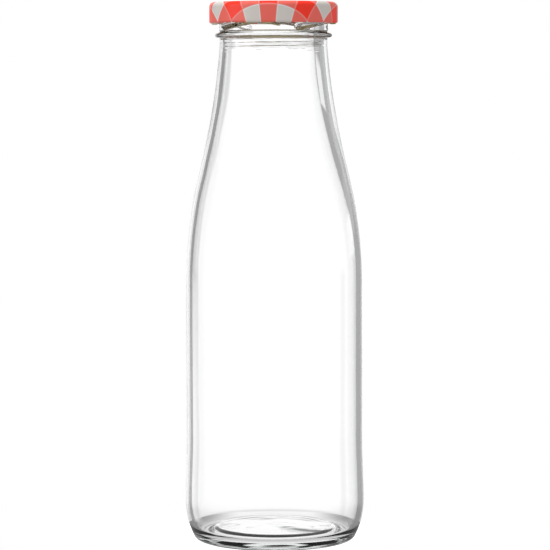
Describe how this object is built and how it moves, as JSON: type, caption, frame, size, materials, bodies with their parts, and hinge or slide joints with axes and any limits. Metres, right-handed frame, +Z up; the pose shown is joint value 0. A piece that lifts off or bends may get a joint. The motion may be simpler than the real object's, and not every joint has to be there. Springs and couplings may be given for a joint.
{
  "type": "glass milk bottle",
  "caption": "Clear glass milk bottle with a long sloping shoulder, a threaded mouth and a checked metal twist lid that unscrews and lifts off.",
  "frame": {"origin": "centre of the bearing ring that the bottle stands on", "axes": "+Z up the bottle's axis; the view of the picture looks along +Y"},
  "size_m": [0.0716, 0.0716, 0.2145],
  "materials": {
    "clear_glass": "clear flint glass, fire-polished, with the faint waviness of moulding",
    "lacquered_tinplate": "glossy lacquer printed with a red and white gingham check, gold lacquer inside",
    "liner_compound": "satin off-white sealing compound"
  },
  "bodies": {
    "bottle": {"bottle": "clear_glass"},
    "sealing_liner": {"sealing_liner": "liner_compound"},
    "lid_shell": {"lid_shell": "lacquered_tinplate"}
  },
  "joints": [
    {"name": "lid_lift", "type": "slide", "parent": "bottle", "child": "sealing_liner", "axis": [0, 0, 1], "range_m": [0, 0.016]},
    {"name": "lid_turn", "type": "hinge", "parent": "sealing_liner", "child": "lid_shell", "pos_m": [0, 0, 0.2062], "axis": [0, 0, 1], "range_deg": [0, 240]}
  ],
  "couplings": [
    {"joint": "lid_lift", "follows": "lid_turn", "m_per_rad": 0.0038197}
  ]
}
